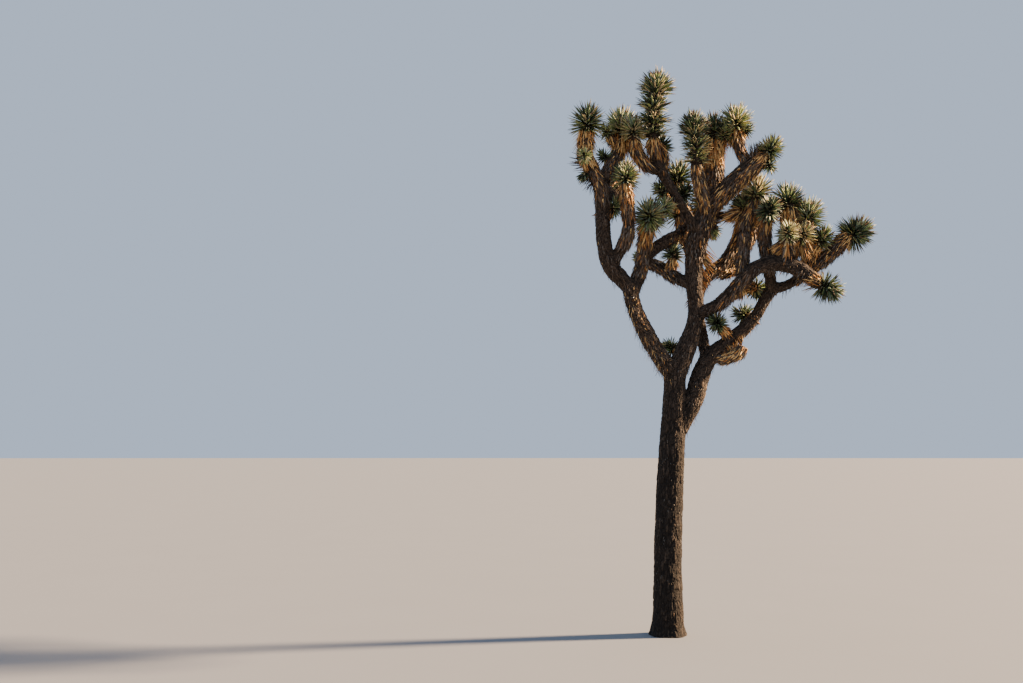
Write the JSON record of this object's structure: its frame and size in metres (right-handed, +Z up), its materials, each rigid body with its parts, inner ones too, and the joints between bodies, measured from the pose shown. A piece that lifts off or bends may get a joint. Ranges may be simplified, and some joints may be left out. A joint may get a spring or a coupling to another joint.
{
  "type": "joshua tree",
  "caption": "Joshua tree with a tall leaning trunk, forked rough-barked boughs and rosettes of dagger leaves above sleeves of dead leaves",
  "frame": {"origin": "middle of the trunk's flat foot on level ground", "axes": "+Z up, +X to the right and +Y away as the picture sees the tree"},
  "size_m": [3.2005, 1.8459, 5.6822],
  "materials": {
    "bark": "rough, furrowed bark plates",
    "weathered_wood": "split, weathered dead wood",
    "leaves": "waxy green dagger leaves",
    "dead_leaves": "dry, matt orange-brown dead leaves"
  },
  "bodies": {
    "root": {"trunk": "bark", "centre_bough": "bark", "left_bough": "bark", "right_bough": "bark", "left_outer_arm": "bark", "left_upper_arm": "bark", "left_inner_arm": "bark", "left_middle_arm": "bark", "left_cross_arm": "bark", "centre_left_limb": "bark", "spire_limb": "bark", "centre_back_limb": "bark", "crown_middle_stem": "bark", "crown_left_stem": "bark", "crown_right_limb": "bark", "crown_right_upright": "bark", "right_cross_bough": "bark", "right_cross_arm": "bark", "middle_upright": "bark", "right_outer_arm": "bark", "right_upright": "bark", "dead_stub": "weathered_wood", "back_bough": "bark", "back_right_limb": "bark", "rear_bough": "bark", "spire_rosette": "leaves", "left_outer_rosette": "leaves", "left_upper_rosette": "leaves", "left_elbow_sprout": "leaves", "spire_left_rosette": "leaves", "spire_side_rosette": "leaves", "left_inner_rosette": "leaves", "left_middle_rosette": "leaves", "left_cross_rosette": "leaves", "centre_left_rosette": "leaves", "centre_left_sprout": "leaves", "centre_back_rosette": "leaves", "centre_back_sprout": "leaves", "crown_left_rosette": "leaves", "crown_middle_rosette": "leaves", "crown_right_upright_rosette": "leaves", "crown_right_rosette": "leaves", "middle_upright_rosette": "leaves", "right_upright_rosette": "leaves", "right_cluster_rosette": "leaves", "right_forearm_rosette": "leaves", "right_outer_rosette": "leaves", "right_drooping_rosette": "leaves", "right_hanging_rosette": "leaves", "right_bough_sprout": "leaves", "low_spur_rosette": "leaves", "fork_sprout": "leaves", "centre_right_rosette": "leaves", "left_outer_sprout": "leaves", "back_rosette": "leaves", "back_right_rosette": "leaves", "back_low_rosette": "leaves", "rear_rosette": "leaves", "rear_left_rosette": "leaves", "left_rear_rosette": "leaves"}
  },
  "joints": []
}
